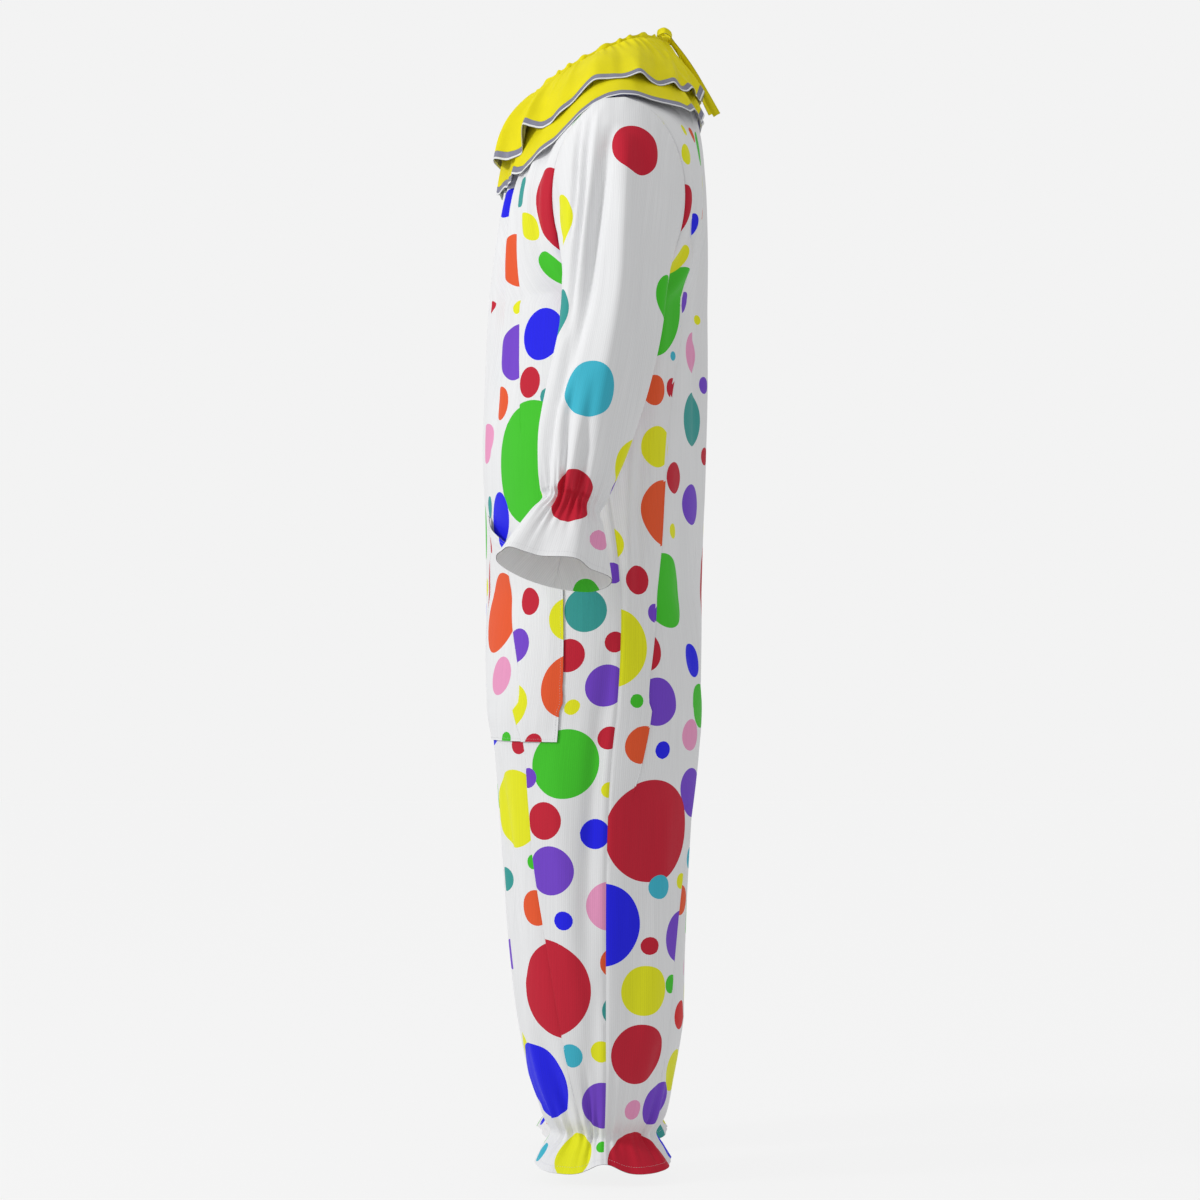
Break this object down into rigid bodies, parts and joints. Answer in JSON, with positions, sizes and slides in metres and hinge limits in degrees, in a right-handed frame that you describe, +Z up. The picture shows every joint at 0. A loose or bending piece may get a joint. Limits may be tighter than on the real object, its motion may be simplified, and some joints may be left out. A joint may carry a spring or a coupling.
{
  "type": "clown costume",
  "caption": "Loose one-piece clown jumpsuit in large multicoloured dots, with a two-layer frill collar tied at the back, patch pockets, and elastic wrists and ankles ending in frills.",
  "frame": {"origin": "base of the neck, on the middle plane and level with the middle of the shoulder seams, where the wearer's neck and shoulders hold the suit up", "axes": "+Z up, the suit's front faces -Y, the wearer's left is +X"},
  "size_m": [0.8634, 0.3092, 1.4717],
  "materials": {
    "printed_cloth": "soft satin crepe, white with large round dots in many colours",
    "yellow_cloth": "soft satin",
    "grey_band": "satin ribbon",
    "white_edging": "satin"
  },
  "bodies": {
    "root": {"front_left": "printed_cloth", "front_right": "printed_cloth", "back_left": "printed_cloth", "back_right": "printed_cloth", "sleeve_left": "printed_cloth", "sleeve_right": "printed_cloth", "pocket_left": "printed_cloth", "pocket_right": "printed_cloth", "neck_casing": "yellow_cloth", "collar_upper": "yellow_cloth", "collar_upper_band": "grey_band", "collar_upper_edging": "white_edging", "collar_lower": "yellow_cloth", "collar_lower_band": "grey_band", "collar_lower_edging": "white_edging", "tie_knot": "yellow_cloth", "tie_loop_left": "yellow_cloth", "tie_loop_right": "yellow_cloth", "tie_tail_left": "yellow_cloth", "tie_tail_right": "yellow_cloth"}
  },
  "joints": []
}
